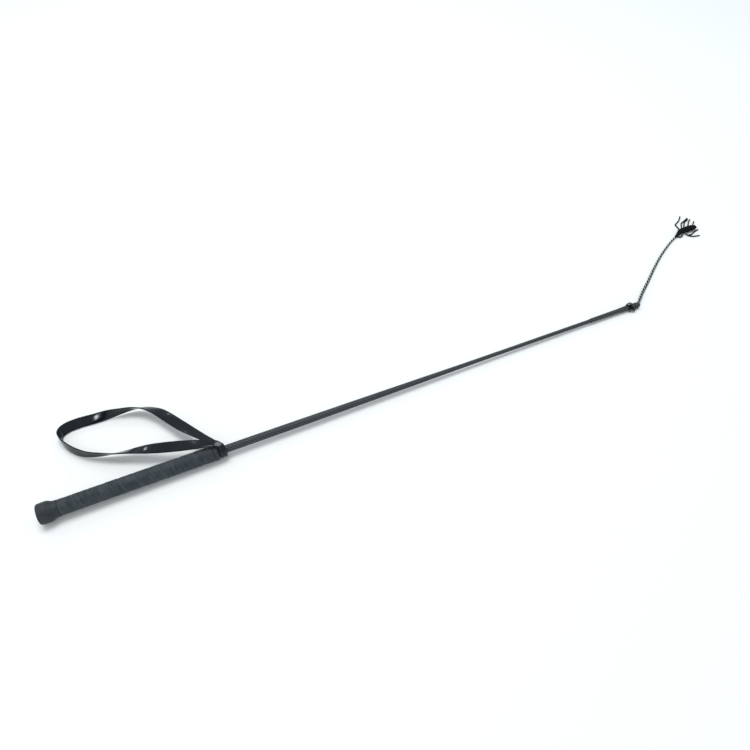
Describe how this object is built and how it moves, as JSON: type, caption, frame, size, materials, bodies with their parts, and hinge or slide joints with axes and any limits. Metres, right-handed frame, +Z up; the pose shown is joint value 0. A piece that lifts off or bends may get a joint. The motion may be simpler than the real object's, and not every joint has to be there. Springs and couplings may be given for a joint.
{
  "type": "riding crop",
  "caption": "Slim riding crop with a spiral leather grip, flared butt cap, glossy wrist loop, tapering braided shaft and a twisted lash with a tassel.",
  "frame": {"origin": "on the table, under the middle of the crop's bounding box without its lash and tassel", "axes": "+X along the crop from the butt to the tip, +Y towards the side on which the wrist loop lies, +Z up from the table"},
  "size_m": [1.011, 0.1497, 0.0239],
  "materials": {
    "grip_leather": "matte blue-black leather tape",
    "cap_rubber": "matte black moulded rubber",
    "handle_plastic": "plain grey plastic, hidden",
    "fibreglass": "pale fibreglass rod, hidden",
    "braid": "tight braid of waxed black thread",
    "patent_leather": "glossy black patent",
    "cord": "black twisted cord"
  },
  "bodies": {
    "crop": {"core_rod": "fibreglass", "handle_core": "handle_plastic", "butt_cap": "cap_rubber", "grip_wrap": "grip_leather", "grip_front_band": "grip_leather", "shaft_cover": "braid", "tip_whipping": "braid", "tip_knot": "cord", "knot_loop_upper": "cord", "knot_loop_side": "cord"},
    "strap_hitch": {"strap_hitch": "patent_leather"},
    "wrist_loop": {"wrist_strap": "patent_leather"},
    "lash": {"lash": "cord"},
    "tassel": {"tassel_binding": "cord", "tassel_core": "cord", "tassel_strand_a": "cord", "tassel_strand_b": "cord", "tassel_strand_c": "cord", "tassel_strand_d": "cord", "tassel_strand_e": "cord", "tassel_strand_f": "cord", "tassel_strand_g": "cord", "tassel_strand_h": "cord"}
  },
  "joints": [
    {"name": "hitch_turn", "type": "hinge", "parent": "crop", "child": "strap_hitch", "pos_m": [-0.19951, -0.0525, 0.00997], "axis": [0.9999, 0, -0.0101], "continuous": true},
    {"name": "loop_swing", "type": "hinge", "parent": "strap_hitch", "child": "wrist_loop", "pos_m": [-0.201, -0.0525, 0.0205], "axis": [0, 0, 1], "range_deg": [-105, 8]},
    {"name": "lash_swing", "type": "hinge", "parent": "crop", "child": "lash", "pos_m": [0.39796, -0.0525, 0.00395], "axis": [0, 0, 1], "range_deg": [-108, 60]},
    {"name": "tassel_swing", "type": "hinge", "parent": "lash", "child": "tassel", "pos_m": [0.55577, 0.04594, 0.00245], "axis": [0, 0, 1], "range_deg": [-70, 70]}
  ]
}
